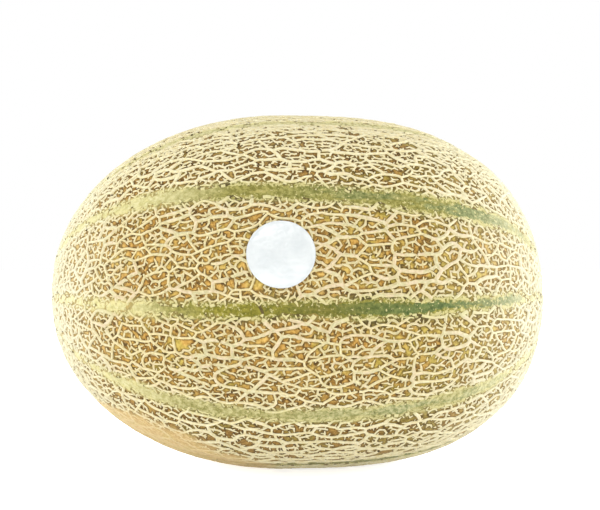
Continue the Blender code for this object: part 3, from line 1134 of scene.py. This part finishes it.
    # The vein tracts: olive, with blue-green streaks towards the stem end, and
    # faded to pale yellow towards the blossom end.
    green = m.mix(m.ramp(mottle, 0.30, 0.70), srgb(104, 101, 18), srgb(156, 148, 52))
    fresh = m.mix(m.ramp(mottle, 0.30, 0.70), srgb(66, 90, 42), srgb(122, 136, 76))
    stem_side = m.ramp(along, -0.15, 0.45)
    core = m.ramp(m.math(add, tract, m.math(mul, m.math(sub, mottle, 0.5), 2.8)), -0.8, -2.6)
    bluish = m.math(add, streak, m.math(mul, m.math(sub, stain, 0.5), 1.15))
    bluish = m.math(mul, m.ramp(m.math(add, bluish, m.math(mul, core, 0.30)), 0.61, 0.80), stem_side)
    worn = m.mix(m.ramp(mottle, 0.30, 0.70), srgb(142, 134, 56), srgb(196, 186, 104))
    vein = m.mix(m.math(mul, m.math(sub, 1.0, core), m.math(mul, stem_side, 0.45)), green, worn)
    vein = m.mix(bluish, vein, fresh)
    vein = m.mix(m.math(mul, m.ramp(streak, 0.56, 0.70), 0.55), vein, srgb(184, 168, 88))
    vein = m.mix(m.math(mul, m.field("deep"), m.ramp(stain, 0.30, 0.62, 0.50, 0.12)), vein, srgb(86, 88, 36))
    vein = m.mix(m.math(mul, faded, 0.90), vein, m.mix(m.ramp(mottle, 0.3, 0.7), srgb(202, 194, 128), srgb(236, 229, 178)))
    # pale crumbs of cork and dark gaps between them, thickest beside the net
    border = m.ramp(tract, -2.6, 0.1)
    gaps = m.ramp(m.math(add, m.noise(1.5, 2.0, 0.6, seed=9.0), m.math(mul, border, 0.17)), 0.64, 0.73)
    vein = m.mix(m.math(mul, gaps, m.ramp(faded, 0.0, 1.0, 0.60, 0.12)), vein, srgb(92, 90, 36))
    far = m.math("MAXIMUM", m.ramp(along, 0.22, 0.80), m.ramp(along, -0.45, -0.9))
    crumbly = m.math(add, m.math(mul, border, 0.20), m.math(mul, far, m.math(add, 0.06, m.math(mul, border, 0.09))))
    crumbs = m.ramp(m.math(add, m.noise(1.2, 2.5, 0.62, seed=7.0), crumbly), 0.60, 0.69)
    vein = m.mix(m.math(mul, crumbs, 0.70), vein, srgb(226, 216, 152))
    inside = m.ramp(m.math(add, tract, m.math(mul, m.math(sub, grain, 0.5), 2.2)), 0.60, -0.30)
    on_vein = m.math(mul, inside, m.ramp(edge, -0.16, 0.12))
    colour = m.mix(on_vein, colour, vein)

    # The patch that lay on the ground: smooth, tan to orange.
    tan = m.mix(m.ramp(grain, 0.3, 0.7), srgb(204, 170, 102), srgb(238, 210, 150))
    tan = m.mix(m.ramp(blotch, 0.46, 0.66, 0.0, 0.55), tan, srgb(208, 186, 108))
    tan = m.mix(m.ramp(m.noise(1.0, 2.0, 0.6, seed=13.0), 0.55, 0.70, 0.0, 0.35), tan, srgb(168, 132, 74))
    tan = m.mix(m.math(mul, cork, 0.55), tan, srgb(244, 224, 174))
    colour = m.mix(m.math(mul, ground, 0.92), colour, tan)

    # Both ends are pale.
    ends = m.math(add, along, m.math(mul, m.math(sub, broad, 0.5), 0.20))
    ends = m.math("MAXIMUM", m.ramp(ends, -0.60, -0.97), m.ramp(ends, 0.34, 0.98))
    # the pale ends keep the painted shade at the ridges' feet and edges
    pale = m.mix(m.math("MAXIMUM", foot, painted_crease_shade), srgb(224, 207, 150), srgb(170, 143, 84))
    pale = m.mix(on_vein, pale, m.mix(m.ramp(mottle, 0.3, 0.7), srgb(228, 222, 168), srgb(248, 244, 208)))
    pale = m.mix(cork, pale, srgb(254, 250, 224))
    later = m.math(sub, 1.0, m.math(mul, on_vein, m.math(sub, 1.0, ends)))
    whitened = m.math(mul, m.math(mul, ends, later), m.ramp(ground, 0.0, 1.0, 0.66, 0.25))
    colour = m.mix(whitened, colour, pale)
    # cork flecks on the bare skin round the two scars
    collar = m.math(mul, m.ramp(radial, 15.0, 10.0), m.ramp(m.noise(1.5, 3.0, 0.65, 0.5, seed=8.0), 0.50, 0.60))
    colour = m.mix(m.math(mul, collar, 0.70), colour, srgb(244, 232, 186))

    # Scars at the two ends.
    wander = m.math(add, m.math(mul, mottle, 12.0), m.math(mul, blotch, 12.0))
    rings = m.ramp(m.math("SINE", m.math(add, m.math(mul, radial, 1.5), wander)), -0.6, 0.9)
    woody = m.mix(rings, srgb(142, 112, 70), srgb(186, 158, 110))
    woody = m.mix(m.ramp(grain, 0.42, 0.60, 0.0, 0.8), woody, srgb(210, 184, 134))
    woody = m.mix(m.ramp(m.noise(2.0, 3.0, 0.7, 1.0, seed=10.0), 0.56, 0.66, 0.0, 0.6), woody, srgb(96, 70, 40))
    woody = m.mix(m.ramp(radial, 5.2, 7.4), woody, m.mix(m.ramp(grain, 0.3, 0.7), srgb(176, 148, 98), srgb(216, 196, 146)))
    # painted shade: the scar darker where it is sunken
    woody = m.mix(m.ramp(raised, -0.35, -1.0, 0.0, 0.5), woody, srgb(78, 54, 30))
    colour = m.mix(scar, colour, woody)

    m.link(colour, m.shader.inputs["Base Color"])
    rough = m.ramp(cork, 0.0, 1.0, 0.56, 0.80)
    rough = m.math(add, rough, m.math(mul, m.math(sub, grain, 0.5), 0.16))
    rough = m.math(add, rough, m.math(mul, on_vein, 0.10))
    m.link(rough, m.shader.inputs["Roughness"])
    m.shader.inputs["Specular IOR Level"].default_value = 0.10
    tiny = m.bump(m.math(add, m.math(mul, fine, 0.6), m.math(mul, grain, 0.9)), 0.00022, strength=0.8)
    raggedly = m.bump(cork, 0.00022, normal=tiny, strength=0.9)
    m.link(raggedly, m.shader.inputs["Normal"])
    return m.material


def paper_material():
    m = Nodes("label")
    fibre = m.noise(0.35, 3.0, 0.6)
    cloud = m.noise(6.0, 2.0, 0.5, seed=0.4)
    paper = m.mix(m.ramp(cloud, 0.35, 0.65), srgb(206, 212, 213), srgb(216, 221, 221))
    paper = m.mix(m.ramp(fibre, 0.62, 0.80, 0.0, 0.25), paper, srgb(210, 215, 220))
    # painted shade: the paper a little greyer where it dips over the cells
    paper = m.mix(m.ramp(m.field("sag"), 0.2, 1.0, 0.0, 0.22), paper, srgb(208, 212, 214))
    # painted shade: a grey line round the label's rim
    paper = m.mix(m.ramp(m.field("rim"), 0.985, 1.0, 0.0, 0.35), paper, srgb(206, 208, 206))
    m.link(paper, m.shader.inputs["Base Color"])
    m.link(m.ramp(fibre, 0.3, 0.7, 0.34, 0.46), m.shader.inputs["Roughness"])
    m.link(m.bump(fibre, 0.00002, strength=0.5), m.shader.inputs["Normal"])
    return m.material


rind = rind_material()
label.data.materials.append(paper_material())
for piece in [melon] + nets:
    piece.data.materials.append(rind)
    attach(piece, "root")
    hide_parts("melon")
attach(label, "root")
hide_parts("label")


# ------------------------------------------------------- floor, light and camera
def floor():
    mesh = bpy.data.meshes.new("floor")
    bm_points = []
    faces = []
    n, size = 24, 6.0
    for i in range(n + 1):
        for j in range(n + 1):
            bm_points.append((size * (i / n - 0.5) * 2, size * (j / n - 0.5) * 2, 0.0))
    for i in range(n):
        for j in range(n):
            k = i * (n + 1) + j
            faces.append((k, k + n + 1, k + n + 2, k + 1))
    mesh.from_pydata(bm_points, [], faces)
    obj = bpy.data.objects.new("floor", mesh)
    bpy.context.scene.collection.objects.link(obj)
    m = Nodes("floor")
    m.shader.inputs["Base Color"].default_value = (0.93, 0.93, 0.93, 1)
    m.shader.inputs["Roughness"].default_value = 0.9
    m.shader.inputs["Specular IOR Level"].default_value = 0.1
    # a light table: it glows a little, so that the shadow on it is faint
    m.shader.inputs["Emission Color"].default_value = (1, 1, 1, 1)
    m.shader.inputs["Emission Strength"].default_value = 0.65
    mesh.materials.append(m.material)


def area(name, place, aim, size, power, colour=(1, 1, 1)):
    light = bpy.data.lights.new(name, "AREA")
    light.shape = "RECTANGLE"
    light.size, light.size_y = size
    light.energy = power
    light.color = colour
    obj = bpy.data.objects.new(name, light)
    obj.location = place
    obj.rotation_euler = (Vector(aim) - Vector(place)).to_track_quat("-Z", "Y").to_euler()
    bpy.context.scene.collection.objects.link(obj)


def sun(name, place, strength, spread_deg, colour):
    light = bpy.data.lights.new(name, "SUN")
    light.energy = strength
    light.angle = math.radians(spread_deg)
    light.color = colour
    obj = bpy.data.objects.new(name, light)
    obj.rotation_euler = (-Vector(place)).to_track_quat("-Z", "Y").to_euler()
    bpy.context.scene.collection.objects.link(obj)


def camera():
    """The fruit's middle is 0.45 m away, seen from 2 degrees above and 4 to the side."""
    centre = Vector(SEAT * 0.001)
    rise, turn = math.radians(2), math.radians(-4)
    back = Vector((math.cos(rise) * math.sin(turn), -math.cos(rise) * math.cos(turn), math.sin(rise)))
    data = bpy.data.cameras.new("camera")
    data.sensor_width = 36
    data.lens = 59.18
    obj = bpy.data.objects.new("camera", data)
    obj.location = centre + back * 0.45
    # aimed a little above the fruit's middle, as the photograph's frame is
    focal = 986.3
    right = (-back).cross(Vector((0, 0, 1))).normalized()
    up = right.cross(-back).normalized()
    aim = (-back) + right * ((300 - 297.7) / focal) + up * ((291.1 - 255) / focal)
    obj.rotation_euler = aim.to_track_quat("-Z", "Y").to_euler()
    data.clip_start, data.clip_end = 0.02, 60
    bpy.context.scene.collection.objects.link(obj)
    bpy.context.scene.camera = obj


floor()
sun("key", (-0.25, -0.75, 0.85), 2.4, 10, (1.0, 0.99, 0.96))
sun("top", (0.0, 0.0, 1.0), 1.35, 50, (1.0, 1.0, 1.0))
area("left", (-0.75, -0.05, 0.16), (0, 0, 0.08), (0.5, 0.5), 6.5)
area("right", (0.75, -0.05, 0.16), (0, 0, 0.08), (0.5, 0.5), 10.0)
area("low", (0.0, -0.85, 0.09), (0, 0, 0.04), (1.0, 0.14), 5.0)
camera()
scene = bpy.context.scene
world = bpy.data.worlds.new("studio")
world.use_nodes = True
world.node_tree.nodes["Background"].inputs["Color"].default_value = (1, 1, 1, 1)
world.node_tree.nodes["Background"].inputs["Strength"].default_value = 1.0
scene.world = world
scene.view_settings.view_transform = "Standard"
scene.view_settings.look = "None"
